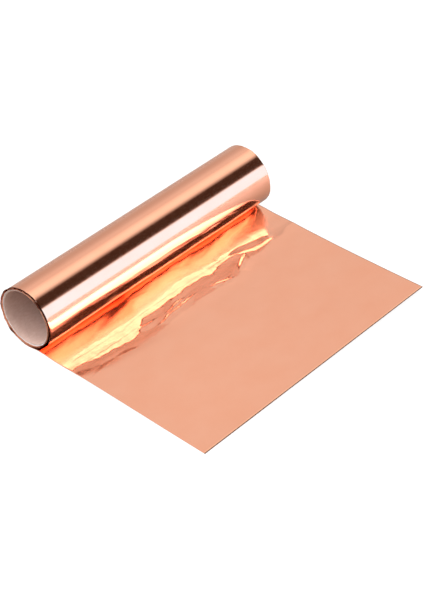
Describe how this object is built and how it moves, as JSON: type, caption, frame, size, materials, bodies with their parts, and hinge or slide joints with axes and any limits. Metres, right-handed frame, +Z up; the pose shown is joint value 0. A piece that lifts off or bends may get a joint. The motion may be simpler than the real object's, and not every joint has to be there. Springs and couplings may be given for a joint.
{
  "type": "copper foil roll",
  "caption": "Wide copper foil wound on a paper core, lying on a table with its free end rolled out flat in front of it.",
  "frame": {"origin": "on the table, below the middle of the box around the roll and its laid-out foil", "axes": "+X along the laid-out foil away from the roll, +Y along the roll, +Z up"},
  "size_m": [0.1652, 0.2, 0.0405],
  "materials": {
    "copper_foil": "polished",
    "core_paper": "matte",
    "core_board": "matte"
  },
  "bodies": {
    "laid_foil": {"foil_laid_out": "copper_foil"},
    "foil_bend": {"foil_under_roll": "copper_foil"},
    "roll": {"core_liner": "core_paper", "core_board": "core_board", "core_cover": "core_paper", "foil_inner_turns": "copper_foil", "foil_outer_turn": "copper_foil"}
  },
  "joints": [
    {"name": "roll_travel", "type": "slide", "parent": "laid_foil", "child": "foil_bend", "axis": [1, 0, 0], "range_m": [-1.1, 0.05], "deforming": ["foil_laid_out"]},
    {"name": "roll_turn", "type": "hinge", "parent": "foil_bend", "child": "roll", "pos_m": [-0.0624, 0, 0.0203], "axis": [0, 1, 0], "range_deg": [-3120, 145]}
  ],
  "couplings": [
    {"joint": "roll_turn", "follows": "roll_travel", "rad_per_m": 49.383}
  ]
}
